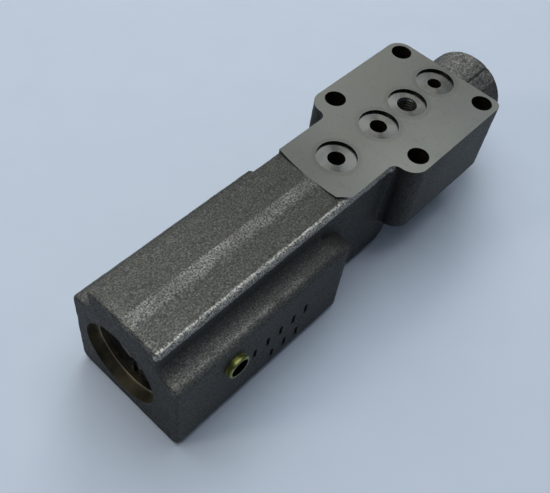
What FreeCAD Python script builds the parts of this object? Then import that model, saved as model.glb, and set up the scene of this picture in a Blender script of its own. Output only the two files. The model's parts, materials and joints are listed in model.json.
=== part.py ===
import FreeCAD, Part
import math
import os

# Spool valve with a cast-iron housing: a mounting face with four ports and four bolt
# holes, and a cartridge of spool, cage and springs behind a cap at the opposite end.
# Millimetres.
# Frame: +X runs from the cavity's mouth to the spool-end boss, +Z points out of the
# mounting face, and the origin is on the base, below the middle of the length and in
# the plane of the ports. The main bore is set off from that plane, away from the side port.

Vec = FreeCAD.Vector
ALONG = Vec(1, 0, 0)
ACROSS = Vec(0, 1, 0)
UP = Vec(0, 0, 1)

# Overall sizes
body_length = 155.5
body_height = 42.0
cavity_face_x = -body_length / 2
boss_end_x = body_length / 2
bore_axis_y = 2.4
bore_axis_z = 18.0

# Mounting face: four bolt holes and four ports in a row
bolt_row_x = cavity_face_x + 98.25
bolt_pitch_x = 34.0
bolt_pitch_y = 32.0
bolt_hole_r = 3.3
port_x = [bolt_row_x + step for step in (-18.3, 1.5, 16.0, 30.8)]
port_r = [2.7, 2.7, 2.6, 2.25]
seal_recess_r = 6.15
seal_recess_depth = 0.8
threaded_port = 2
thread_chamfer = 0.55
orifice_seat_r = 2.1
orifice_seat_z = 32.0

# Flange plate
plate_near_x = bolt_row_x - 7.75
plate_far_x = bolt_row_x + 38.6
plate_half = 21.0
plate_bottom_z = 17.0
plate_near_corner_r = 5.5
plate_far_corner_r = [5.0, 3.0]
plate_root_r = 2.5

# Neck and roofed cast top
neck_half = 13.0
neck_end_x = bolt_row_x - 6.0
ridge_half = 1.8
roof_drop = 0.9
cast_edge_r = 1.2
neck_corner_r = 3.0
toe_rise_x = 6.5
toe_rise_z = 7.0
toe_base_r = 4.0
toe_top_r = 3.0
pad_arc_r = 70.0
pad_arc_y = -3.0
pad_tip_x = bolt_row_x - 30.55
pad_corner = [(3.8, 0.0), (-1.0, 4.4)]
pad_root_z = 38.0

# Wide lower block around the cavity
block_half = 20.0
ledge_z = 32.0
ledge_edge_r = 2.5
ledge_root_r = 3.5
base_edge_r = 3.5
block_end_x = bolt_row_x - 26.6
block_nose_top_r = 12.0
block_nose_bottom_r = 9.0
block_plan_r = 9.0
face_edge_r = 1.0

# Barrel and boss around the spool bore
barrel_start_x = 18.0
barrel_r = 14.1
barrel_top_axis_z = 24.1
barrel_bottom_z = 4.6
boss_edge_r = 1.4

# Cartridge cavity
cavity_mouth_r = 13.1
cavity_mouth_depth = 3.5
cavity_r = 12.2
cavity_step_x = -63.55
chamber_r = 11.4
chamber_end_x = -12.0

# Side port
side_port_x = bolt_row_x - 78.3
side_port_z = 22.4
side_port_r = 3.7
side_sleeve_bore_r = 2.93
side_sleeve_proud = 1.9
side_sleeve_length = 8.2
side_sleeve_chamfer = 0.25
side_sleeve_groove = {"from_wall": 0.9, "width": 0.45, "depth": 0.2}

# Spool, cage, bushing and sensing piston
cage_bore_r = 8.0
fit_gap = 0.02
spool_hole_r = 5.0
running_gap = 0.04
cage_flange_x = -15.0
cage_flange_r = 11.1
cage_end_x = 45.0
annulus_r = 6.0
annulus_half = 2.5
feed_hole_r = 1.6
o_ring_x = [-5.5, 12.1, 29.25, 41.9]
o_ring_wire_r = 0.88
seal_groove_half = 1.65
backup_width = 1.0
spool_left_x = -24.0
spool_right_x = 44.5
spool_nose_r = 3.2
spool_waist_r = 3.4
spool_drain_r = 1.0
land_left_x = [-11.0, -1.5]
land_right_start_x = 39.2
meter_overlap = 0.1
balance_groove_x = [-8.6, -6.2, -3.8, 41.0, 42.8]
balance_groove_half = 0.2
balance_groove_depth = 0.3
bushing_end_x = 60.0
bushing_seal_x = cage_end_x + 2.1
bushing_collar_x = [cage_end_x + 3.7, 58.5]
bushing_waist_depth = 1.7
bushing_recess_r = 4.0
bushing_recess_depth = 1.0
bushing_slot = 3.0
piston_r = 2.5
piston_head_x = 63.1
piston_head_r = 3.8
plug_front_x = 65.0
plug_seat_x = 66.0
plug_r = 9.0
plug_outer_x = 76.2
plug_hex = 8.0
plug_hex_depth = 5.0
plug_chamfer = 0.6
plug_seal_x = plug_seat_x + 2.2
narrow_groove_half = 1.1

# Spring pack
cap_left_x = -71.35
cap_hub_r = 4.9
cap_hub_x = -57.05
cap_seal_x = -67.85
cap_groove_half = 1.6
cap_dish_r = 5.5
cap_dish_depth = 2.2
cap_puller_r = 2.1
cap_puller_depth = 10.0
shim_thickness = 0.5
seat_left_x = -21.3
seat_right_x = -18.5
seat_r = 10.6
seat_hub_x = -27.0
ring_thickness = 1.2
ring_depth = 1.0
ring_gap_angle = 13
cap_ring = {"width": 1.3, "lug_r": 1.5}
cage_ring = {"width": 1.3, "lug_r": 1.2}
outer_spring = {"mean_r": 9.0, "wire_r": 1.3, "turns": 11.0}
inner_spring = {"mean_r": 6.0, "wire_r": 0.7, "turns": 15.0}

# Orifice screw in the threaded port
orifice_top_z = 31.9
orifice_bottom_z = 27.6
orifice_r = 0.45
orifice_socket = 3.0
orifice_socket_depth = 2.0

# Foundry tally bars on the side of the lower block
tally_length = 4.2
tally_width = 1.3
tally_depth = 0.7
tally_step = 5.2
tally_rows = [(-50.4, 17.2, 5), (-42.6, 8.0, 3)]


def rounded_wire(corners, place):
    """Closed wire through corners (a, b, radius); place maps (a, b) to a point."""
    count = len(corners)
    flat = [Vec(a, b, 0) for a, b, radius in corners]
    starts = []
    ends = []
    edges = []
    for i in range(count):
        radius = corners[i][2]
        before = (flat[i - 1] - flat[i]).normalize()
        after = (flat[(i + 1) % count] - flat[i]).normalize()
        half = before.getAngle(after) / 2
        reach = radius / math.tan(half) if radius else 0.0
        starts.append(flat[i] + before * reach)
        ends.append(flat[i] + after * reach)
        if radius:
            inward = (before + after).normalize()
            middle = flat[i] + inward * (radius / math.sin(half) - radius)
            arc_points = [place(p.x, p.y) for p in (starts[i], middle, ends[i])]
            edges.append(Part.Arc(*arc_points).toShape())
        if i:
            edges.append(straight(ends[i - 1], starts[i], place))
    edges.append(straight(ends[-1], starts[0], place))
    return Part.Wire(Part.__sortEdges__([edge for edge in edges if edge]))


def straight(start, end, place):
    """Straight edge between two flat points, or nothing when they meet."""
    if (end - start).Length < 1e-6:
        return None
    return Part.makeLine(place(start.x, start.y), place(end.x, end.y))


def prism(corners, place, travel):
    """Solid swept from a rounded outline along the vector travel."""
    return Part.Face(rounded_wire(corners, place)).extrude(travel)


def rod(radius, x_from, x_to, y=bore_axis_y, z=bore_axis_z):
    """Cylinder along X, on the main bore's axis unless told otherwise."""
    return Part.makeCylinder(radius, x_to - x_from, Vec(x_from, y, z), ALONG)


def tube(outer_r, inner_r, x_from, x_to):
    """Ring or tube along X on the main bore's axis."""
    return rod(outer_r, x_from, x_to).cut(rod(inner_r, x_from - 1, x_to + 1))


def on_axis(x):
    """Point on the main bore's axis."""
    return Vec(x, bore_axis_y, bore_axis_z)


def post(radius, x, y, z_from, z_to):
    """Cylinder along Z."""
    return Part.makeCylinder(radius, z_to - z_from, Vec(x, y, z_from), UP)


def turned(steps, hole_r=0.0):
    """Turned part along X from steps (radius, x_from, x_to), with a hole through it."""
    body = rod(*steps[0])
    for step in steps[1:]:
        body = body.fuse(rod(*step))
    if hole_r:
        body = body.cut(rod(hole_r, steps[0][1] - 1, steps[-1][2] + 1))
    return body.removeSplitter()


def hex_hole(across_flats, start, direction, depth):
    """Hexagonal prism for a wrench socket."""
    corner_r = across_flats / math.sqrt(3)
    side = ACROSS
    other = direction.cross(side)
    points = []
    for i in range(7):
        angle = math.radians(60 * i)
        points.append(start + side * (corner_r * math.cos(angle)) + other * (corner_r * math.sin(angle)))
    return Part.Face(Part.makePolygon(points)).extrude(direction * depth)


def mirrored(half_outline):
    """Closed outline from its +Y half, listed from the base to the top."""
    other_half = [(-a, b, radius) for a, b, radius in reversed(half_outline)]
    return half_outline + other_half


def cross_section(a, b):
    """Place an outline (y, z) on the cavity face."""
    return Vec(cavity_face_x, a, b)


def roof():
    """Top of a cast cross-section, from its edge to the flat ridge."""
    return [(neck_half, body_height - roof_drop, cast_edge_r), (ridge_half, body_height, 0.0)]


def lower_block():
    """Wide block around the cavity, with its far end rounded in side view and in plan."""
    half = [(block_half, 0.0, base_edge_r), (block_half, ledge_z, ledge_edge_r)]
    half.append((neck_half, ledge_z, ledge_root_r))
    section = prism(mirrored(half + roof()), cross_section, ALONG * (block_end_x - cavity_face_x))
    side = [(cavity_face_x, 0.0, 0.0), (block_end_x, 0.0, block_nose_bottom_r)]
    side += [(block_end_x, ledge_z, block_nose_top_r), (cavity_face_x, ledge_z, 0.0)]
    nose = prism(side, lambda a, b: Vec(a, -block_half, b), ACROSS * 2 * block_half)
    plan = [(cavity_face_x, -block_half, 0.0), (block_end_x, -block_half, block_plan_r)]
    plan += [(block_end_x, block_half, block_plan_r), (cavity_face_x, block_half, 0.0)]
    corner_trim = prism(plan, lambda a, b: Vec(a, b, 0.0), UP * body_height)
    fillet_zone_end = block_end_x - block_nose_top_r
    upper = Part.makeBox(fillet_zone_end - cavity_face_x, 2 * block_half, body_height)
    upper.translate(Vec(cavity_face_x, -block_half, 0))
    return section.common(corner_trim).common(nose.fuse(upper))


def neck():
    """Narrow part that carries the cast top and ends in a raised toe below the plate."""
    half = [(neck_half, 0.0, neck_corner_r)] + roof()
    top_end_x = plate_near_x + 10.0
    section = prism(mirrored(half), cross_section, ALONG * (top_end_x - cavity_face_x))
    toe = [(cavity_face_x, 0.0, 0.0), (neck_end_x, 0.0, toe_base_r)]
    toe += [(neck_end_x + toe_rise_x, toe_rise_z, toe_top_r), (top_end_x, body_height, 0.0)]
    toe.append((cavity_face_x, body_height, 0.0))
    return section.common(prism(toe, lambda a, b: Vec(a, -neck_half, b), ACROSS * 2 * neck_half))


def plate():
    """Flange plate with rounded corners, joined to the neck by small root radii."""
    inside_x = plate_near_x - 8.0
    outline = [(inside_x, neck_half, 0.0), (plate_near_x, neck_half, plate_root_r)]
    outline.append((plate_near_x, plate_half, plate_near_corner_r))
    outline.append((plate_far_x, plate_half, plate_far_corner_r[0]))
    outline.append((plate_far_x, -plate_half, plate_far_corner_r[1]))
    outline.append((plate_near_x, -plate_half, plate_near_corner_r))
    outline += [(plate_near_x, -neck_half, plate_root_r), (inside_x, -neck_half, 0.0)]
    return prism(outline, lambda a, b: Vec(a, b, plate_bottom_z), UP * (body_height - plate_bottom_z))


def pad():
    """Machined end of the mounting face on the neck, bounded by the cutter's arc."""
    corner = [(pad_tip_x + a, b - neck_half, 0.0) for a, b in pad_corner]
    outline = corner + [(pad_tip_x - 1.0, neck_half, 0.0), (plate_near_x, neck_half, 0.0)]
    outline.append((plate_near_x, -neck_half, 0.0))
    bar = prism(outline, lambda a, b: Vec(a, b, pad_root_z), UP * (body_height - pad_root_z))
    return bar.common(post(pad_arc_r, pad_tip_x + pad_arc_r, pad_arc_y, pad_root_z, body_height))


def barrel():
    """Barrel below the plate that ends in the spool-end boss."""
    low_z = barrel_bottom_z
    high_z = barrel_top_axis_z + barrel_r
    corner_r = barrel_r - 0.1
    outline = [(-barrel_r, low_z, corner_r), (barrel_r, low_z, corner_r)]
    outline += [(barrel_r, high_z, corner_r), (-barrel_r, high_z, corner_r)]
    travel = ALONG * (boss_end_x - barrel_start_x)
    body = prism(outline, lambda a, b: Vec(barrel_start_x, a, b), travel)
    end_edges = [e for e in body.Edges if e.BoundBox.XMin > boss_end_x - 0.01]
    return body.makeFillet(boss_edge_r, end_edges)


def casting():
    """Outer form of the housing before machining."""
    near_part = lower_block().fuse(neck()).removeSplitter()
    rim = [e for e in near_part.Edges if e.BoundBox.XMax < cavity_face_x + 0.01]
    near_part = near_part.makeFillet(face_edge_r, rim)
    far_part = plate().fuse(pad()).fuse(barrel())
    return near_part.fuse(far_part).removeSplitter()


def tally_bars():
    """Short cast-in bars in two rows, as a generic foundry tally."""
    bars = []
    for start_x, z, count in tally_rows:
        for i in range(count):
            bar = Part.makeBox(tally_width, 2 * tally_depth, tally_length)
            bar.translate(Vec(start_x + tally_step * i, -block_half - tally_depth, z - tally_length / 2))
            bars.append(bar)
    return bars


def make_housing():
    """Cast-iron housing with all of its bores."""
    body = casting()
    cuts = [rod(cavity_mouth_r, cavity_face_x - 1, cavity_face_x + cavity_mouth_depth)]
    cuts.append(rod(cavity_r, cavity_face_x, cavity_step_x))
    cuts.append(rod(cavity_r + ring_depth, cap_left_x - ring_thickness, cap_left_x))
    cuts.append(rod(chamber_r, cavity_step_x, chamber_end_x))
    cuts.append(rod(chamber_r + ring_depth, cage_flange_x - ring_thickness, cage_flange_x))
    cuts.append(rod(cage_bore_r, chamber_end_x - 1, plug_seat_x))
    cuts.append(rod(plug_r, plug_seat_x, boss_end_x + 1))
    for x in (bolt_row_x, bolt_row_x + bolt_pitch_x):
        for side in (-1, 1):
            cuts.append(post(bolt_hole_r, x, side * bolt_pitch_y / 2, -1, body_height + 1))
    for i in range(4):
        floor_z = body_height - seal_recess_depth
        low_z = orifice_seat_z if i == threaded_port else bore_axis_z
        cuts.append(post(seal_recess_r, port_x[i], 0.0, floor_z, body_height + 1))
        cuts.append(post(port_r[i], port_x[i], 0.0, low_z, floor_z + 1))
    cuts.append(post(orifice_seat_r, port_x[threaded_port], 0.0, bore_axis_z, orifice_seat_z + 1))
    mouth_r = port_r[threaded_port] + thread_chamfer
    top = Vec(port_x[threaded_port], 0, body_height - seal_recess_depth - thread_chamfer)
    cuts.append(Part.makeCone(port_r[threaded_port], mouth_r, thread_chamfer, top, UP))
    side_start = Vec(side_port_x, -block_half - 1, side_port_z)
    cuts.append(Part.makeCylinder(side_port_r, block_half, side_start, ACROSS))
    cuts += tally_bars()
    for tool in cuts:
        body = body.cut(tool)
    return body.removeSplitter()


def make_port_sleeve():
    """Plated sleeve pressed into the side wall, with a shallow groove near the wall."""
    outer_r = side_port_r - fit_gap
    start = Vec(side_port_x, -block_half - side_sleeve_proud, side_port_z)
    body = Part.makeCylinder(outer_r, side_sleeve_length, start, ACROSS)
    rim = [e for e in body.Edges if e.BoundBox.YMax < start.y + 0.01]
    body = body.makeChamfer(side_sleeve_chamfer, rim)
    width = side_sleeve_groove["width"]
    groove_at = start + ACROSS * (side_sleeve_proud - side_sleeve_groove["from_wall"])
    groove = Part.makeCylinder(outer_r + 1, width, groove_at, ACROSS)
    core = Part.makeCylinder(outer_r - side_sleeve_groove["depth"], width, groove_at, ACROSS)
    hole = Part.makeCylinder(side_sleeve_bore_r, side_sleeve_length + 2, start - ACROSS, ACROSS)
    return body.cut(groove.cut(core)).cut(hole)


def split_ring(wall_r, x_to, width, lug_r):
    """Internal retaining ring with a gap at the bottom and two drilled lugs beside it."""
    outer_r = wall_r + ring_depth - fit_gap
    inner_r = wall_r - width
    x_from = x_to - ring_thickness
    ring = tube(outer_r, inner_r, x_from, x_to)
    lug_reach = inner_r - lug_r * 0.2
    for side in (-1, 1):
        angle = math.radians(-90 + side * ring_gap_angle)
        y = bore_axis_y + lug_reach * math.cos(angle)
        z = bore_axis_z + lug_reach * math.sin(angle)
        ring = ring.fuse(rod(lug_r, x_from, x_to, y, z))
        ring = ring.cut(rod(lug_r * 0.45, x_from - 1, x_to + 1, y, z))
    gap_width = 1.6 * lug_r
    gap = Part.makeBox(ring_thickness + 2, gap_width, outer_r)
    gap.translate(on_axis(x_from - 1) - Vec(0, gap_width / 2, outer_r + 1))
    return ring.common(rod(outer_r, x_from, x_to)).cut(gap).removeSplitter()


def make_retaining_ring():
    """Ring that holds the spring cap."""
    return split_ring(cavity_r, cap_left_x, **cap_ring)


def make_cage_retaining_ring():
    """Ring that holds the flange of the cage."""
    return split_ring(chamber_r, cage_flange_x, **cage_ring)


def seal_groove(x, wall_r, half_width):
    """Ring to cut away for a seal in the wall of a turned part."""
    return tube(wall_r + 1, o_ring_groove_r(wall_r), x - half_width, x + half_width)


def make_spring_cap():
    """Abutment for the springs, with a seal groove and a hub that centres them."""
    outer_r = cavity_r - fit_gap
    body = turned([(outer_r, cap_left_x, cavity_step_x), (cap_hub_r, cavity_step_x, cap_hub_x)])
    dish = rod(cap_dish_r, cap_left_x, cap_left_x + cap_dish_depth)
    puller_thread = rod(cap_puller_r, cap_left_x, cap_left_x + cap_puller_depth)
    return body.cut(seal_groove(cap_seal_x, outer_r, cap_groove_half)).cut(dish).cut(puller_thread)


def o_ring_groove_r(wall_r):
    """Bottom radius of a groove that holds an O-ring against a wall."""
    return wall_r - 2 * o_ring_wire_r - 0.02


def o_ring(x, wall_r):
    """O-ring seated between its groove and a bore of radius wall_r."""
    return Part.makeTorus(wall_r - o_ring_wire_r - fit_gap, o_ring_wire_r, on_axis(x), ALONG)


def backup_ring(start_x, wall_r):
    """Flat back-up ring in a groove of a part of radius wall_r."""
    return tube(wall_r - fit_gap, o_ring_groove_r(wall_r) + fit_gap, start_x, start_x + backup_width)


def make_cap_o_ring():
    """Seal of the spring cap."""
    return o_ring(cap_seal_x + cap_groove_half - o_ring_wire_r - 0.1, cavity_r - fit_gap)


def make_cap_backup_ring():
    """Back-up ring on the open side of the cap's seal."""
    return backup_ring(cap_seal_x - cap_groove_half + fit_gap, cavity_r - fit_gap)


def make_preload_shims():
    """Two shims that set the spring force."""
    shims = []
    for i in range(2):
        start = cavity_step_x + i * shim_thickness
        shims.append(tube(chamber_r - 0.6, cap_hub_r + 0.1, start, start + shim_thickness))
    return Part.makeCompound(shims)


def coil_spring(spec, x_from, x_to):
    """Compression spring along X with its round wire just clear of both seats."""
    wire_r = spec["wire_r"]
    start = x_from + wire_r + 0.02
    length = x_to - x_from - 2 * wire_r - 0.04
    helix = Part.makeHelix(length / spec["turns"], length, spec["mean_r"])
    circle = Part.Circle(Vec(spec["mean_r"], 0, 0), ACROSS, wire_r).toShape()
    solid = Part.Wire(helix.Edges).makePipeShell([Part.Wire([circle])], True, True)
    solid.rotate(Vec(0, 0, 0), ACROSS, 90)
    solid.translate(on_axis(start))
    return solid


def make_spring_seat():
    """Flanged seat between the springs and the nose of the spool."""
    body = turned([(cap_hub_r, seat_hub_x, seat_left_x), (seat_r, seat_left_x, seat_right_x)])
    return body.cut(rod(spool_nose_r + 0.1, spool_left_x, seat_right_x + 1))


def make_valve_cage():
    """Ported cage with a flange, an annulus at each port and seal grooves between."""
    outer_r = cage_bore_r - fit_gap
    body = turned([(cage_flange_r, cage_flange_x, chamber_end_x), (outer_r, chamber_end_x, cage_end_x)],
                  spool_hole_r)
    for x in port_x[:3]:
        body = body.cut(tube(outer_r + 1, annulus_r, x - annulus_half, x + annulus_half))
        for angle in (0, 90):
            hole = post(feed_hole_r, x, bore_axis_y, bore_axis_z - cage_bore_r, bore_axis_z + cage_bore_r)
            hole.rotate(on_axis(x), ALONG, angle)
            body = body.cut(hole)
    for x in o_ring_x:
        body = body.cut(seal_groove(x, outer_r, seal_groove_half))
    return body


def make_cage_o_rings():
    """Seals between the ports of the cage."""
    shift = seal_groove_half - o_ring_wire_r - 0.05
    return Part.makeCompound([o_ring(x - shift, cage_bore_r - fit_gap) for x in o_ring_x])


def make_cage_backup_rings():
    """Back-up rings beside the seals of the cage."""
    start = seal_groove_half - fit_gap - backup_width
    return Part.makeCompound([backup_ring(x + start, cage_bore_r - fit_gap) for x in o_ring_x])


def make_spool():
    """Spool with three lands, a nose for the spring seat and a drain hole through it."""
    land_r = spool_hole_r - running_gap
    land_start, land_end = land_left_x
    meter_start = port_x[1] - annulus_half - meter_overlap
    meter_end = port_x[1] + annulus_half + meter_overlap
    steps = [(spool_nose_r, spool_left_x, land_start), (land_r, land_start, land_end)]
    steps += [(spool_waist_r, land_end, meter_start), (land_r, meter_start, meter_end)]
    steps += [(spool_waist_r, meter_end, land_right_start_x), (land_r, land_right_start_x, spool_right_x)]
    body = turned(steps, spool_drain_r)
    groove_r = land_r - balance_groove_depth
    for x in balance_groove_x:
        body = body.cut(tube(land_r + 1, groove_r, x - balance_groove_half, x + balance_groove_half))
    return body


def make_piston_bushing():
    """Bushing that guides the sensing piston and seals the last port from the others."""
    outer_r = cage_bore_r - fit_gap
    waist_r = outer_r - bushing_waist_depth
    waist_start, waist_end = bushing_collar_x
    steps = [(outer_r, cage_end_x, waist_start), (waist_r, waist_start, waist_end)]
    steps.append((outer_r, waist_end, bushing_end_x))
    body = turned(steps, piston_r)
    body = body.cut(seal_groove(bushing_seal_x, outer_r, narrow_groove_half))
    body = body.cut(rod(bushing_recess_r, cage_end_x - 1, cage_end_x + bushing_recess_depth))
    for i in range(4):
        notch = Part.makeBox(bushing_slot, bushing_slot, 2 * bushing_waist_depth)
        notch.translate(on_axis(waist_end - 0.5) + Vec(0, -bushing_slot / 2, waist_r))
        notch.rotate(on_axis(0), ALONG, 90 * i + 45)
        body = body.cut(notch)
    return body


def make_bushing_o_ring():
    """Seal of the piston bushing."""
    return o_ring(bushing_seal_x, cage_bore_r - fit_gap)


def make_sensing_piston():
    """Small piston that pushes the spool, with a head that limits its travel."""
    stem = (piston_r - running_gap, spool_right_x, piston_head_x)
    return turned([stem, (piston_head_r, piston_head_x, plug_front_x)])


def make_end_plug():
    """Flush socket-head plug in the boss."""
    outer_r = plug_r - fit_gap
    spigot = (cage_bore_r - 0.1, plug_front_x, plug_seat_x)
    body = turned([spigot, (outer_r, plug_seat_x, plug_outer_x)])
    rim = [e for e in body.Edges if e.BoundBox.XMin > plug_outer_x - 0.01]
    body = body.makeChamfer(plug_chamfer, rim)
    body = body.cut(seal_groove(plug_seal_x, outer_r, narrow_groove_half))
    start = on_axis(plug_outer_x - plug_hex_depth)
    return body.cut(hex_hole(plug_hex, start, ALONG, plug_hex_depth + 1))


def make_end_plug_o_ring():
    """Seal of the end plug."""
    return o_ring(plug_seal_x, plug_r - fit_gap)


def make_orifice_screw():
    """Socket set screw with a small orifice, deep in the threaded port."""
    x = port_x[threaded_port]
    body = post(orifice_seat_r - fit_gap, x, 0.0, orifice_bottom_z, orifice_top_z)
    socket_start = Vec(x, 0, orifice_top_z - orifice_socket_depth)
    body = body.cut(hex_hole(orifice_socket, socket_start, UP, orifice_socket_depth + 1))
    return body.cut(post(orifice_r, x, 0.0, orifice_bottom_z - 1, orifice_top_z))


parts = {
    "housing": make_housing(),
    "port_sleeve": make_port_sleeve(),
    "retaining_ring": make_retaining_ring(),
    "spring_cap": make_spring_cap(),
    "cap_o_ring": make_cap_o_ring(),
    "cap_backup_ring": make_cap_backup_ring(),
    "preload_shims": make_preload_shims(),
    "outer_spring": coil_spring(outer_spring, cavity_step_x + 2 * shim_thickness, seat_left_x),
    "inner_spring": coil_spring(inner_spring, cavity_step_x + 2 * shim_thickness, seat_left_x),
    "spring_seat": make_spring_seat(),
    "cage_retaining_ring": make_cage_retaining_ring(),
    "valve_cage": make_valve_cage(),
    "cage_o_rings": make_cage_o_rings(),
    "cage_backup_rings": make_cage_backup_rings(),
    "spool": make_spool(),
    "piston_bushing": make_piston_bushing(),
    "bushing_o_ring": make_bushing_o_ring(),
    "sensing_piston": make_sensing_piston(),
    "end_plug": make_end_plug(),
    "end_plug_o_ring": make_end_plug_o_ring(),
    "orifice_screw": make_orifice_screw(),
}

os.makedirs("parts", exist_ok=True)
for name, shape in parts.items():
    shape.exportStep("parts/" + name + ".step")
    box = shape.BoundBox
    print(name, len(shape.Solids), "solid(s), valid", shape.isValid(), "volume", round(shape.Volume, 1),
          "x", round(box.XMin, 2), round(box.XMax, 2), "y", round(box.YMin, 2), round(box.YMax, 2),
          "z", round(box.ZMin, 2), round(box.ZMax, 2))
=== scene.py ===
import json
import math

import bmesh
import bpy
from mathutils import Matrix, Vector, noise


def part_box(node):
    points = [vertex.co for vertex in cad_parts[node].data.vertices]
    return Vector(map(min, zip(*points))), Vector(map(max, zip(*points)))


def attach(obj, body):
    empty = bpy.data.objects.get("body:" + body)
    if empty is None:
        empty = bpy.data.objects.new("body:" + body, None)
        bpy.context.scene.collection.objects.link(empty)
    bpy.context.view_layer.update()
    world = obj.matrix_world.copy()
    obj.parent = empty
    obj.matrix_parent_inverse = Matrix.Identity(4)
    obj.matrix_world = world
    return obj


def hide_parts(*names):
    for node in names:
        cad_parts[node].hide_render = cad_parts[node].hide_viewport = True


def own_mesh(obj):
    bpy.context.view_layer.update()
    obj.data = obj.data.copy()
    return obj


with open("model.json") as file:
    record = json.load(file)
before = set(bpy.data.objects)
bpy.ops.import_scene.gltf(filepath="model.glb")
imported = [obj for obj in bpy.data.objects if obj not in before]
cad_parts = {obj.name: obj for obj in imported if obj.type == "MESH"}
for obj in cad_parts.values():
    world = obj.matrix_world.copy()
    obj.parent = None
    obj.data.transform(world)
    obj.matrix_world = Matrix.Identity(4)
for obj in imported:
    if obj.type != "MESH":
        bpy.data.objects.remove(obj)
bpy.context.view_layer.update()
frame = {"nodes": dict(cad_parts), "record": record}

# Looks of a cast-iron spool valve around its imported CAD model. Metres throughout.
MM = 0.001
NODES = frame["nodes"]
MOUNTS = {mount["name"]: mount for mount in frame["record"]["mounts"]}
LOW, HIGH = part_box("housing")
TOP_Z = HIGH.z
CAVITY_FACE_X = LOW.x
BORE_Y, BORE_Z = MOUNTS["cavity_mouth"]["pos_m"][1:]
MOUTH_R = MOUNTS["cavity_mouth"]["dims"]["r_mm"] * MM
BORED_R = 12.2 * MM + 1.4 * MM  # the bored walls and their ring grooves lie within it
MOUTH_END_X = CAVITY_FACE_X + 3.5 * MM
RECESS_R = 6.15 * MM
RECESS_DEPTH = 0.8 * MM
NECK_HALF = 13 * MM
BLOCK_HALF = 20 * MM
PAD_TIP_X = MOUNTS["mounting_bolts"]["pos_m"][0] - 47.55 * MM
BARREL_TOP_Z = 24.1 * MM  # axis of the boss's rounded top
PORTS = [MOUNTS[f"port_{i}"] for i in (1, 2, 3, 4)]
BOLT_CENTRE = Vector(MOUNTS["mounting_bolts"]["pos_m"])
BOLT_STEP_X = MOUNTS["mounting_bolts"]["dims"]["spacing_x_mm"] * MM / 2
BOLT_STEP_Y = MOUNTS["mounting_bolts"]["dims"]["spacing_y_mm"] * MM / 2
BOLT_HOLE_R = MOUNTS["mounting_bolts"]["dims"]["hole_r_mm"] * MM
ALONG = Vector((1, 0, 0))
UP = Vector((0, 0, 1))
TINY = 0.02 * MM

# Cast skin
SKIN_EDGE = 1.1 * MM  # longest mesh edge
SKIN_DEPTH = 0.07 * MM
SKIN_SIZE = 1.6 * MM
LUMP_DEPTH = 0.07 * MM
LUMP_SIZE = 6 * MM
GRAIN_SIZE = 0.5 * MM
SMOOTH_ANGLE = math.radians(32)

# Mould seam along the boss, and the rubbed places
SEAM_ANGLE = math.radians(-22)
SEAM_START_X = 0.055
SEAM_HALF = 0.55 * MM
SEAM_DEPTH = 0.25 * MM
STREAK_START_X = 0.0585
BOSS_TOP_Z = 0.0345
NECK_EDGE_END_X = 0.016
LEDGE_BOTTOM_Z = 0.029
LEDGE_END_X = -0.03

# Thread of the third port
THREAD_PITCH = 1.0 * MM
THREAD_LENGTH = 7.2 * MM
THREAD_AROUND = 48
THREAD_RINGS_PER_PITCH = 8


# ---------------------------------------------------------------- camera, light and floor

def make_camera():
    """Camera above the open cavity, looking along the body, slightly rolled."""
    data = bpy.data.cameras.new("camera")
    data.lens = 49.56
    data.sensor_width = 36
    data.clip_start = 0.01
    camera = bpy.data.objects.new("camera", data)
    bpy.context.scene.collection.objects.link(camera)
    right = Vector((0.67805, -0.72806, 0.10083)).normalized()
    forward = Vector((0.49306, 0.34881, -0.79700)).normalized()
    up = right.cross(forward).normalized()
    turn = Matrix((right, up, -forward)).transposed().to_4x4()
    camera.matrix_world = Matrix.Translation((-0.13109, -0.07816, 0.19802)) @ turn
    bpy.context.scene.camera = camera


def make_area_light(name, at, aim, size, power, colour):
    """Soft rectangular light at a point, aimed at another."""
    data = bpy.data.lights.new(name, "AREA")
    data.shape = "RECTANGLE"
    data.size, data.size_y = size
    data.energy = power
    data.color = colour
    light = bpy.data.objects.new(name, data)
    light.location = at
    light.rotation_euler = (Vector(aim) - Vector(at)).to_track_quat("-Z", "Y").to_euler()
    bpy.context.scene.collection.objects.link(light)


def make_lights():
    """Large soft light overhead, a small window beyond the part, a faint lamp and a dim room."""
    make_area_light("overhead", (0.10, 0.22, 1.15), (0, 0, 0), (1.3, 1.1), 9.6, (0.93, 0.97, 1.0))
    make_area_light("window", (0.90, 0.76, 0.78), (0, 0, 0.02), (0.7, 0.6), 3.6, (1.0, 0.97, 0.90))
    make_area_light("lamp", (-0.80, 0.42, 0.62), (-0.07, 0, 0.02), (0.16, 0.16), 1.1, (1.0, 0.86, 0.62))
    world = bpy.data.worlds.new("room")
    world.use_nodes = True
    background = world.node_tree.nodes["Background"]
    background.inputs["Color"].default_value = (0.62, 0.74, 0.90, 1)
    background.inputs["Strength"].default_value = 0.16
    bpy.context.scene.world = world
    bpy.context.scene.view_settings.view_transform = "Standard"


def make_floor():
    """Plain pale paper under the part."""
    mesh = bpy.data.meshes.new("paper")
    half = 1.5
    corners = [(-half, -half, 0), (half, -half, 0), (half, half, 0), (-half, half, 0)]
    mesh.from_pydata(corners, [], [(0, 1, 2, 3)])
    floor = bpy.data.objects.new("paper", mesh)
    floor.location.z = -0.05 * MM
    bpy.context.scene.collection.objects.link(floor)
    kit = Shader("paper", roughness=0.75)
    tone = kit.noise(kit.position(), 60, 2)
    kit.colour(kit.ramp(tone, [(0.3, (0.645, 0.722, 0.835)), (0.7, (0.660, 0.737, 0.850))]))
    floor.data.materials.append(kit.material)


# ---------------------------------------------------------------- materials

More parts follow.
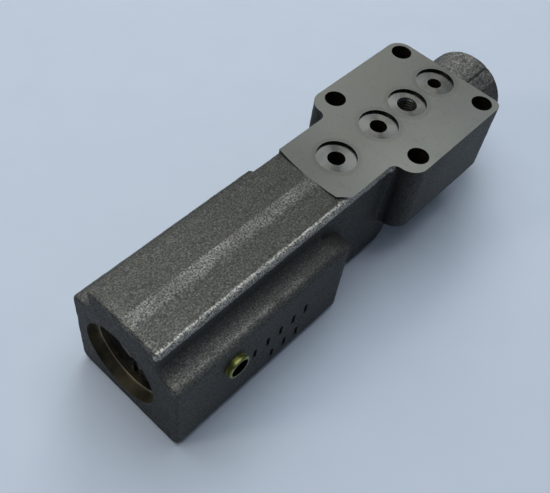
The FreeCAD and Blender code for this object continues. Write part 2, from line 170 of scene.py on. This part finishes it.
class Shader:
    """A small helper around one Principled material."""

    def __init__(self, name, **values):
        self.material = bpy.data.materials.new(name)
        self.material.use_nodes = True
        self.tree = self.material.node_tree
        self.shader = self.tree.nodes["Principled BSDF"]
        for key, value in values.items():
            self.shader.inputs[key.replace("_", " ").capitalize()].default_value = value

    def node(self, kind, **settings):
        made = self.tree.nodes.new(kind)
        for key, value in settings.items():
            setattr(made, key, value)
        return made

    def link(self, source, target):
        self.tree.links.new(source, target)

    def position(self):
        return self.node("ShaderNodeNewGeometry").outputs["Position"]

    def attribute(self, name, output="Fac"):
        return self.node("ShaderNodeAttribute", attribute_name=name).outputs[output]

    def scaled(self, vector, scale):
        mapping = self.node("ShaderNodeMapping")
        mapping.inputs["Scale"].default_value = scale
        self.link(vector, mapping.inputs["Vector"])
        return mapping.outputs["Vector"]

    def noise(self, vector, scale, detail=3.0, roughness=0.55):
        made = self.node("ShaderNodeTexNoise")
        made.inputs["Scale"].default_value = scale
        made.inputs["Detail"].default_value = detail
        made.inputs["Roughness"].default_value = roughness
        self.link(vector, made.inputs["Vector"])
        return made.outputs["Fac"]

    def ramp(self, value, stops):
        made = self.node("ShaderNodeValToRGB")
        ramp = made.color_ramp
        while len(ramp.elements) < len(stops):
            ramp.elements.new(0.5)
        for element, (place, colour) in zip(ramp.elements, stops):
            element.position = place
            colour = (colour,) * 3 if isinstance(colour, (int, float)) else colour
            element.color = (*colour, 1)
        self.link(value, made.inputs["Fac"])
        return made.outputs["Color"]

    def mix(self, factor, first, second, blend="MIX"):
        made = self.node("ShaderNodeMix", data_type="RGBA", blend_type=blend)
        for value, socket in ((factor, made.inputs[0]), (first, made.inputs[6]), (second, made.inputs[7])):
            if isinstance(value, bpy.types.NodeSocket):
                self.link(value, socket)
            elif isinstance(value, tuple):
                socket.default_value = (*value, 1)
            else:
                socket.default_value = value
        return made.outputs[2]

    def part(self, axis, vector):
        made = self.node("ShaderNodeSeparateXYZ")
        self.link(vector, made.inputs[0])
        return made.outputs[axis]

    def math(self, operation, first, second=0.0, third=0.0):
        made = self.node("ShaderNodeMath", operation=operation)
        for value, socket in zip((first, second, third), made.inputs):
            if isinstance(value, bpy.types.NodeSocket):
                self.link(value, socket)
            else:
                socket.default_value = value
        return made.outputs[0]

    def colour(self, source):
        self.link(source, self.shader.inputs["Base Color"])

    def roughness(self, source):
        self.link(source, self.shader.inputs["Roughness"])

    def bump(self, height, distance, strength=1.0):
        made = self.node("ShaderNodeBump")
        made.inputs["Distance"].default_value = distance
        made.inputs["Strength"].default_value = strength
        self.link(height, made.inputs["Height"])
        self.link(made.outputs["Normal"], self.shader.inputs["Normal"])


def cast_iron():
    """Dark sand-cast skin with a fine brownish grain, and bare metal where it is worn.

    The skin is painted darker as shade on the walls, on the cavity's face and on the middle of the body.
    """
    kit = Shader("cast_iron", metallic=0.5)
    at = kit.position()
    grain = kit.noise(at, 1 / GRAIN_SIZE, 2, 0.6)
    fine = kit.noise(at, 2900, 2, 0.7)
    patches = kit.noise(at, 70, 3)
    tint = kit.noise(at, 1300, 1)
    pits, plain, peaks = (0.072, 0.074, 0.071), (0.134, 0.134, 0.124), (0.252, 0.249, 0.227)
    skin = kit.ramp(grain, [(0.30, pits), (0.52, plain), (0.74, peaks)])
    skin = kit.mix(0.45, skin, kit.ramp(fine, [(0.25, 0.45), (0.75, 1.0)]), "MULTIPLY")
    tints = kit.ramp(tint, [(0.35, (1.0, 0.88, 0.74)), (0.65, (0.86, 0.98, 1.0))])
    skin = kit.mix(0.5, skin, tints, "MULTIPLY")
    patchy = kit.ramp(patches, [(0.3, (0.62, 0.66, 0.68)), (0.7, (1.0, 1.0, 0.97))])
    skin = kit.mix(0.35, skin, patchy, "MULTIPLY")
    # Painted shade: the skin is darkened to 0.58 along the middle of the body.
    along = kit.math("MULTIPLY_ADD", kit.part("X", at), 9.0, 0.72)
    middle = kit.ramp(along, [(0.05, 1.0), (0.62, 0.58), (0.95, 0.58), (1.0, 0.9)])
    skin = kit.mix(1.0, skin, middle, "MULTIPLY")
    # Painted shade: walls facing sideways or down are darkened to half.
    normal = kit.node("ShaderNodeNewGeometry").outputs["Normal"]
    skin = kit.mix(1.0, skin, kit.ramp(kit.part("Z", normal), [(0.15, 0.50), (0.75, 1.0)]), "MULTIPLY")
    # Painted shade: faces towards the cavity's end are darkened to half; with the wall ramp this reaches a
    # quarter.
    towards = kit.math("MULTIPLY", kit.part("X", normal), -1.0)
    skin = kit.mix(1.0, skin, kit.ramp(towards, [(0.55, 1.0), (0.92, 0.50)]), "MULTIPLY")
    streaks = kit.noise(kit.scaled(at, (0.16, 1, 1)), 1500, 3, 0.7)
    streaked = kit.mix(0.85, skin, kit.ramp(streaks, [(0.32, 0.45), (0.68, 1.0)]), "MULTIPLY")
    skin = kit.mix(kit.attribute("streak"), skin, streaked)
    wear = kit.attribute("wear")
    worn = kit.math("MULTIPLY", wear, kit.ramp(grain, [(0.38, 0.08), (0.62, 1.0)]))
    skin = kit.mix(worn, skin, (0.54, 0.53, 0.49))
    # Painted shade: the seam's sunk groove is coloured near black.
    kit.colour(kit.mix(kit.attribute("seam"), skin, (0.008, 0.008, 0.008)))
    kit.roughness(kit.mix(worn, kit.ramp(grain, [(0.3, 0.75), (0.7, 0.50)]), (0.40, 0.40, 0.40)))
    height = kit.math("ADD", grain, kit.math("MULTIPLY", fine, 0.35))
    kit.bump(height, 0.11 * MM)
    return kit.material


def cut_metal(name, colours, roughness, anisotropic, line_scale, metallic=1.0):
    """Machined surface whose tool marks follow the direction in the lay attribute."""
    kit = Shader(name, metallic=metallic, roughness=roughness, anisotropic=anisotropic)
    at = kit.position()
    lay = kit.attribute("lay", "Vector")
    length = kit.node("ShaderNodeVectorMath", operation="LENGTH")
    kit.link(lay, length.inputs[0])
    direction = kit.node("ShaderNodeVectorMath", operation="NORMALIZE")
    kit.link(lay, direction.inputs[0])
    kit.link(direction.outputs["Vector"], kit.shader.inputs["Tangent"])
    combine = kit.node("ShaderNodeCombineXYZ")
    kit.link(length.outputs["Value"], combine.inputs["X"])
    rings = kit.noise(combine.outputs["Vector"], line_scale, 2, 0.7)
    cloud = kit.noise(at, 120, 3)
    tone = kit.mix(0.5, kit.ramp(cloud, [(0.3, colours[0]), (0.7, colours[1])]),
                   kit.ramp(rings, [(0.3, 0.72), (0.7, 1.0)]), "MULTIPLY")
    kit.colour(tone)
    kit.bump(rings, 0.006 * MM)
    return kit.material


def milled_face():
    """Flat machined mounting face: greenish grey, with faint cutter marks, rings round the ports, and
    painted shade towards one long side and its narrow end.
    """
    kit = Shader("milled_face", metallic=0.7)
    at = kit.position()

    def distance(centre):
        far = kit.node("ShaderNodeVectorMath", operation="DISTANCE")
        kit.link(at, far.inputs[0])
        far.inputs[1].default_value = centre
        return far.outputs["Value"]

    combine = kit.node("ShaderNodeCombineXYZ")
    kit.link(distance((PAD_TIP_X + 60 * MM, 0.030, TOP_Z)), combine.inputs["X"])
    sweep = kit.noise(combine.outputs["Vector"], 1500, 3, 0.7)
    cloud = kit.noise(at, 55, 3)
    speck = kit.noise(at, 900, 2)
    tone = kit.ramp(cloud, [(0.32, (0.196, 0.206, 0.194)), (0.68, (0.246, 0.252, 0.226))])
    tone = kit.mix(0.20, tone, kit.ramp(sweep, [(0.3, 0.75), (0.7, 1.0)]), "MULTIPLY")
    tone = kit.mix(0.30, tone, kit.ramp(speck, [(0.28, 0.55), (0.42, 1.0)]), "MULTIPLY")
    nearest = distance((PORTS[0]["pos_m"][0], 0, TOP_Z))
    for port in PORTS[1:]:
        nearest = kit.math("MINIMUM", nearest, distance((port["pos_m"][0], 0, TOP_Z)))
    halo = kit.math("MULTIPLY", nearest, 100.0)
    ring = kit.ramp(halo, [(0.62, 1.0), (0.66, 0.80), (0.72, 0.86), (0.78, 1.0)])
    tone = kit.mix(0.8, tone, ring, "MULTIPLY")
    # Painted shade: the face is darkened to 0.62 from the middle plane to one long side.
    across = kit.math("MULTIPLY_ADD", kit.part("Y", at), -16.0, 0.5)
    tone = kit.mix(1.0, tone, kit.ramp(across, [(0.30, 0.62), (0.50, 0.62), (0.78, 0.97)]), "MULTIPLY")
    # Painted shade: the face is darkened to 0.74 towards its narrow end; this multiplies with the side
    # ramp.
    along = kit.math("MULTIPLY_ADD", kit.part("X", at), 20.0, 0.3)
    kit.colour(kit.mix(1.0, tone, kit.ramp(along, [(0.20, 0.74), (0.50, 0.96)]), "MULTIPLY"))
    kit.roughness(kit.ramp(cloud, [(0.3, 0.40), (0.7, 0.50)]))
    kit.bump(sweep, 0.004 * MM)
    return kit.material


def drilled_wall():
    """Drilled holes, coloured near black as painted shade inside them."""
    kit = Shader("drilled_wall", metallic=0.8, roughness=0.4)
    tone = kit.noise(kit.scaled(kit.position(), (0.2, 0.2, 1)), 1800, 2)
    # Painted shade: the hole walls are near black.
    kit.colour(kit.ramp(tone, [(0.3, (0.030, 0.026, 0.021)), (0.7, (0.075, 0.066, 0.052))]))
    kit.bump(tone, 0.01 * MM)
    return kit.material


def plated_yellow():
    """Olive-yellow passivated zinc with a darker, streaky tint, and its bore painted near black as shade.
    """
    kit = Shader("plated_yellow", metallic=0.85, roughness=0.33)
    at = kit.position()
    cloud = kit.noise(kit.scaled(at, (1, 3, 1)), 420, 3)
    dull, olive, gold = (0.145, 0.160, 0.045), (0.270, 0.280, 0.080), (0.40, 0.39, 0.13)
    tone = kit.ramp(cloud, [(0.3, dull), (0.55, olive), (0.75, gold)])
    port = MOUNTS["side_port"]["pos_m"]
    away = kit.node("ShaderNodeVectorMath", operation="DISTANCE")
    kit.link(kit.scaled(at, (1, 0, 1)), away.inputs[0])
    away.inputs[1].default_value = (port[0], 0, port[2])
    # Painted shade: inside the sleeve's bore the colour is near black.
    bore_painted_shade = kit.math("LESS_THAN", away.outputs["Value"], 2.97 * MM)
    kit.colour(kit.mix(bore_painted_shade, tone, (0.010, 0.010, 0.006)))
    kit.bump(cloud, 0.02 * MM)
    return kit.material


def turned_metal(name, colour, roughness, metallic=1.0):
    """Turned steel with fine rings across the axis."""
    kit = Shader(name, metallic=metallic, roughness=roughness)
    at = kit.position()
    rings = kit.noise(kit.scaled(at, (1, 0.02, 0.02)), 5200, 2, 0.7)
    cloud = kit.noise(at, 260, 3)
    dark = tuple(0.72 * c for c in colour)
    tone = kit.ramp(cloud, [(0.3, dark), (0.7, colour)])
    kit.colour(kit.mix(0.4, tone, kit.ramp(rings, [(0.3, 0.7), (0.7, 1.0)]), "MULTIPLY"))
    kit.bump(rings, 0.008 * MM)
    return kit.material


def moulded(name, colour, roughness, scale):
    """Rubber or plastic with a fine matt texture."""
    kit = Shader(name, roughness=roughness)
    grain = kit.noise(kit.position(), scale, 3)
    kit.colour(kit.ramp(grain, [(0.3, tuple(0.75 * c for c in colour)), (0.7, colour)]))
    kit.bump(grain, 0.01 * MM)
    return kit.material


# ---------------------------------------------------------------- housing

def threaded_tool(name, radius, crest):
    """Closed screw-shaped solid along +X from its origin, for cutting a thread."""
    around = THREAD_AROUND
    rings = int(THREAD_LENGTH / THREAD_PITCH * THREAD_RINGS_PER_PITCH)
    verts = []
    for i in range(rings + 1):
        x = THREAD_LENGTH * i / rings
        for j in range(around):
            turn = j / around
            phase = (x / THREAD_PITCH + turn) % 1.0
            ridge = min(1.0, 1.25 * (1 - abs(2 * phase - 1)))
            r = radius + (crest - radius) * ridge
            verts.append((x, r * math.cos(2 * math.pi * turn), r * math.sin(2 * math.pi * turn)))
    faces = []
    for i in range(rings):
        for j in range(around):
            k = (j + 1) % around
            faces.append((i * around + j, i * around + k, (i + 1) * around + k, (i + 1) * around + j))
    faces.append(tuple(reversed(range(around))))
    faces.append(tuple(rings * around + j for j in range(around)))
    mesh = bpy.data.meshes.new(name)
    mesh.from_pydata(verts, [], faces)
    tool = bpy.data.objects.new(name, mesh)
    bpy.context.scene.collection.objects.link(tool)
    return tool


def cut_thread(body):
    """Cut the third port's M6 thread."""
    port = PORTS[2]
    port_r = port["dims"]["r_mm"] * MM
    tapped = threaded_tool("port_tap", port_r - 0.08 * MM, port_r + 0.45 * MM)
    tapped.rotation_euler = (0, math.pi / 2, 0)
    tapped.location = (port["pos_m"][0], 0, TOP_Z - RECESS_DEPTH + 0.1 * MM)
    modifier = body.modifiers.new("cut", "BOOLEAN")
    modifier.operation = "DIFFERENCE"
    modifier.solver = "EXACT"
    modifier.object = tapped
    bpy.context.view_layer.update()
    evaluated = body.evaluated_get(bpy.context.evaluated_depsgraph_get())
    mesh = bpy.data.meshes.new_from_object(evaluated)
    body.modifiers.clear()
    body.data = mesh
    bpy.data.objects.remove(tapped)


CAST, MILLED, STEP, RECESS, MOUTH, BORED, DRILLED = range(7)


def surface_kind(centre, normal):
    """Which finish a face of the housing has, with the centre and axis of its tool marks."""
    across = Vector((0, centre.y - BORE_Y, centre.z - BORE_Z))
    radial = across.length
    main_axis = Vector((centre.x, BORE_Y, BORE_Z))
    inward = normal.dot(across) < -0.2 * radial
    if centre.x < MOUTH_END_X - TINY and radial < MOUTH_R + TINY and inward:
        return MOUTH, main_axis, ALONG
    if abs(centre.x - MOUTH_END_X) < TINY and radial < MOUTH_R and normal.x < -0.9:
        return STEP, main_axis, ALONG
    shoulder = radial < MOUTH_R - TINY and abs(normal.x) > 0.9 and centre.x < -CAVITY_FACE_X - TINY
    if shoulder or (radial < BORED_R and inward):
        return BORED, main_axis, ALONG
    if abs(centre.z - TOP_Z) < TINY and normal.z > 0.99 and centre.x > PAD_TIP_X + 0.1 * MM:
        return MILLED, Vector((0, 0, 0)), UP
    for port in PORTS:
        axis = Vector(port["pos_m"])
        away = math.hypot(centre.x - axis.x, centre.y - axis.y)
        if away < RECESS_R + TINY and centre.z > BORE_Z:
            deep = centre.z < TOP_Z - RECESS_DEPTH - 0.7 * MM
            return DRILLED if deep else RECESS, Vector((axis.x, axis.y, centre.z)), UP
    for side_x in (-1, 1):
        for side_y in (-1, 1):
            hole = Vector((BOLT_CENTRE.x + side_x * BOLT_STEP_X, side_y * BOLT_STEP_Y, centre.z))
            if (centre - hole).length < BOLT_HOLE_R + TINY:
                return DRILLED, hole, UP
    return CAST, Vector((0, 0, 0)), UP


def split_long_edges(bm, layer, limit, rounds=12):
    """Split the cast faces' edges until none is longer than the limit."""
    for _ in range(rounds):
        long_edges = [e for e in bm.edges if e.calc_length() > limit
                      and all(f[layer] == CAST for f in e.link_faces)]
        if not long_edges:
            return
        bmesh.ops.subdivide_edges(bm, edges=long_edges, cuts=1)
        bmesh.ops.triangulate(bm, faces=[f for f in bm.faces if len(f.verts) > 3])


def displace_cast(bm, layer):
    """Sand grain and slight waviness on the cast skin; cut faces and their borders stay."""
    for vert in bm.verts:
        if any(f[layer] != CAST for f in vert.link_faces):
            continue
        at = vert.co
        skin = SKIN_DEPTH * (noise.noise(at / SKIN_SIZE) - 0.4)
        lump = LUMP_DEPTH * (noise.noise(at / LUMP_SIZE) - 0.4)
        lift = min(skin + lump, 0.0) - SEAM_DEPTH * seam_at(at)
        if at.z < 0.3 * MM:
            lift = 0.0
        vert.co = at + vert.normal * lift


def seam_at(at):
    """How far a point on the boss lies in the mould seam along its top."""
    if at.x < SEAM_START_X or at.z < BARREL_TOP_Z:
        return 0.0
    turn = math.atan2(at.y, at.z - BARREL_TOP_Z) - SEAM_ANGLE
    drift = 0.35 * MM * noise.noise(Vector((at.x / (3 * MM), 0, 7)))
    return max(0.0, 1 - abs(turn * (at.z - BARREL_TOP_Z) + drift) / SEAM_HALF)


def wear_at(at):
    """How much the cast skin is rubbed bright: the ridge and the edges that stand proud."""
    patch = 0.5 + 0.9 * noise.noise(at / (4 * MM))
    speckle = 0.55 + 1.1 * noise.noise(at / (1.1 * MM))
    wear = 0.0
    if at.x < PAD_TIP_X + 2 * MM and at.z > TOP_Z - 1.2 * MM:
        ridge = min(1.0, (0.8 * MM - at.y) / (0.5 * MM), (at.y + 4.2 * MM) / (1.6 * MM))
        nearness = max(0.0, min(1.0, (PAD_TIP_X - at.x) / 0.06))
        wear = max(0.0, ridge) * (0.22 + 0.12 * nearness) * (0.5 + patch)
    if at.x < NECK_EDGE_END_X and at.z > TOP_Z - 3 * MM:
        reach = 1.4 * MM if at.y < 0 else 0.5 * MM
        edge = max(0.0, 1 - abs(abs(at.y) - NECK_HALF + 0.3 * MM) / reach)
        strong = min(1.0, 2.4 * edge) * (0.8 + 0.7 * speckle)
        wear = max(wear, strong if at.y < 0 else 0.2 * edge * patch)
    if at.y < -NECK_HALF and at.z > LEDGE_BOTTOM_Z and at.x < LEDGE_END_X:
        edge = max(0.0, 1 - abs(abs(at.y) - BLOCK_HALF + 2.0 * MM) / (1.9 * MM))
        wear = max(wear, 0.30 * edge * patch)
    if at.x < CAVITY_FACE_X + 2.5 * MM and at.z > TOP_Z - 1.8 * MM:
        wear = max(wear, 0.22 * patch)
    if at.x > STREAK_START_X:
        wear = max(wear, (0.42 if at.z > BOSS_TOP_Z else 0.06) * speckle)
    return max(0.0, min(1.0, wear))


def make_housing(materials):
    """The casting, with its grain, the port's thread and separate finishes on cut faces."""
    source = NODES["housing"]
    body = bpy.data.objects.new("housing_casting", source.data.copy())
    bpy.context.scene.collection.objects.link(body)
    bm = bmesh.new()
    bm.from_mesh(body.data)
    bmesh.ops.remove_doubles(bm, verts=bm.verts, dist=0.0005 * MM)
    bm.to_mesh(body.data)
    bm.free()
    cut_thread(body)
    bm = bmesh.new()
    bm.from_mesh(body.data)
    everything = bm.verts[:] + bm.edges[:] + bm.faces[:]
    ridge_end = Vector((PAD_TIP_X + 0.1 * MM, 0, 0))
    bmesh.ops.bisect_plane(bm, geom=everything, plane_co=ridge_end, plane_no=ALONG)
    bmesh.ops.triangulate(bm, faces=bm.faces)
    bm.normal_update()
    kind_layer = bm.faces.layers.int.new("kind")
    for face in bm.faces:
        face[kind_layer] = surface_kind(face.calc_center_median(), face.normal)[0]
    split_long_edges(bm, kind_layer, SKIN_EDGE)
    bm.normal_update()
    for edge in bm.edges:
        one_kind = len({face[kind_layer] for face in edge.link_faces}) == 1
        edge.smooth = len(edge.link_faces) == 2 and one_kind and edge.calc_face_angle() < SMOOTH_ANGLE
    displace_cast(bm, kind_layer)
    wear_layer = bm.verts.layers.float.new("wear")
    seam_layer = bm.verts.layers.float.new("seam")
    streak_layer = bm.verts.layers.float.new("streak")
    for vert in bm.verts:
        vert[wear_layer] = wear_at(vert.co)
        vert[seam_layer] = seam_at(vert.co)
        vert[streak_layer] = 1.0 if vert.co.x > STREAK_START_X else 0.0
    lay_layer = bm.loops.layers.float_vector.new("lay")
    for face in bm.faces:
        face.smooth = True
        face.material_index = face[kind_layer]
        if face[kind_layer] == CAST:
            continue
        middle, axis = surface_kind(face.calc_center_median(), face.normal)[1:]
        for loop in face.loops:
            loop[lay_layer] = axis.cross(loop.vert.co - middle)
    body.data.materials.clear()
    for material in materials:
        body.data.materials.append(material)
    bm.to_mesh(body.data)
    bm.free()
    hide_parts("housing")
    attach(body, "housing")
    print("housing faces", len(body.data.polygons))


# ---------------------------------------------------------------- other pieces

def make_springs(material):
    """Copies of the two springs in spring steel, attached to the housing."""
    for name in ("outer_spring", "inner_spring"):
        spring = bpy.data.objects.new(name + "_coil", NODES[name].data.copy())
        bpy.context.scene.collection.objects.link(spring)
        spring.data.materials.clear()
        spring.data.materials.append(material)
        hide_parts(name)
        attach(spring, "housing")
        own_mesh(spring)


def dress_nodes():
    """Materials of the CAD nodes that are shown as they are."""
    finishes = {
        "yellow_zinc": plated_yellow(),
        "ground_steel": turned_metal("ground_steel", (0.60, 0.60, 0.61), 0.18),
        "turned_steel": turned_metal("turned_steel", (0.40, 0.40, 0.41), 0.34),
        "phosphated_steel": turned_metal("phosphated_steel", (0.40, 0.39, 0.37), 0.5, 0.25),
        "black_oxide_steel": turned_metal("black_oxide_steel", (0.055, 0.055, 0.06), 0.38, 0.7),
        "spring_steel": turned_metal("spring_steel", (0.30, 0.30, 0.32), 0.32),
        "seal_rubber": moulded("seal_rubber", (0.020, 0.020, 0.020), 0.5, 2500),
        "backup_plastic": moulded("backup_plastic", (0.74, 0.72, 0.66), 0.45, 1500),
    }
    for part in frame["record"]["subparts"]:
        slot = part["material_slot"]
        if slot in finishes:
            node = NODES[part["node"]]
            node.data.materials.clear()
            node.data.materials.append(finishes[slot])
    return finishes


make_camera()
make_lights()
make_floor()
finishes = dress_nodes()
make_housing([
    cast_iron(),
    milled_face(),
    cut_metal("step_edge", ((0.50, 0.48, 0.42), (0.62, 0.60, 0.52)), 0.40, 0.3, 9000, 0.6),
    cut_metal("recess_floor", ((0.088, 0.092, 0.092), (0.125, 0.128, 0.122)), 0.24, 0.97, 9000),
    cut_metal("mouth_wall", ((0.105, 0.090, 0.064), (0.32, 0.272, 0.180)), 0.30, 0.6, 9000, 0.85),
    cut_metal("bored_wall", ((0.10, 0.085, 0.065), (0.19, 0.165, 0.12)), 0.30, 0.5, 9000),
    drilled_wall(),
])
make_springs(finishes["spring_steel"])
